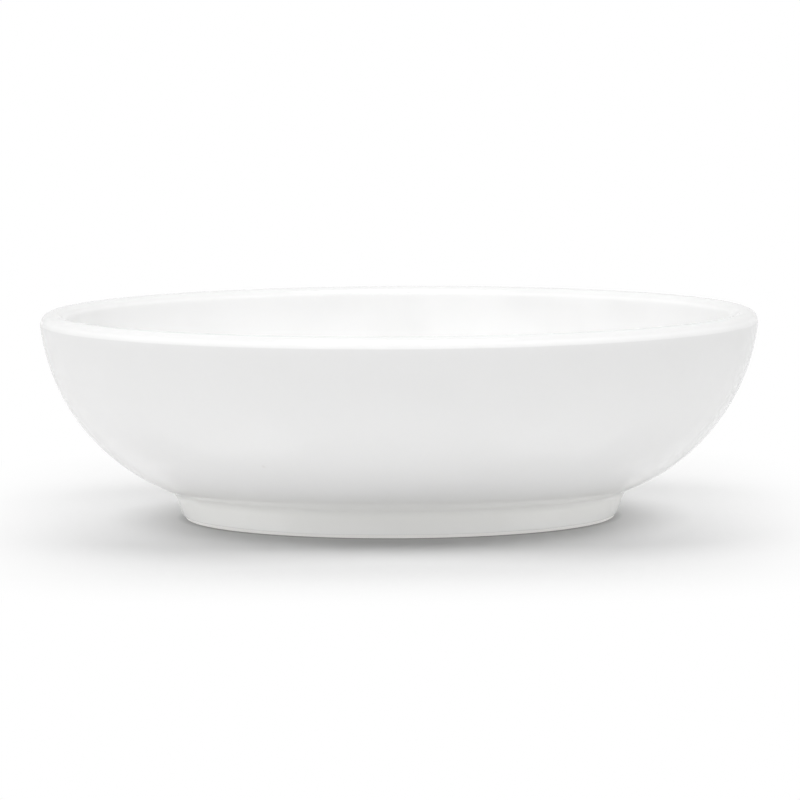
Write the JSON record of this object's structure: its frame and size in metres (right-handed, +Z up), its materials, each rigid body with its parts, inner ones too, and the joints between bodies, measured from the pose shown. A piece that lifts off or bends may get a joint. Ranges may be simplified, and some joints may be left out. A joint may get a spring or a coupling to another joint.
{
  "type": "soy sauce dish",
  "caption": "Shallow round white porcelain dish with a rounded lip, an evenly curved wall and a low foot ring, for holding soy sauce or another dip at the table.",
  "frame": {"origin": "centre of the foot ring at table height", "axes": "+Z up along the dish's axis, towards the open mouth; X and Y lie in the table's plane and are alike, because the dish is round"},
  "size_m": [0.1, 0.1, 0.0288],
  "materials": {
    "clay": "bare fired porcelain, fine and matte",
    "glaze": "white gloss glaze"
  },
  "bodies": {
    "root": {"porcelain_body": "clay", "glaze_coat": "glaze", "base_glaze": "glaze"}
  },
  "joints": []
}
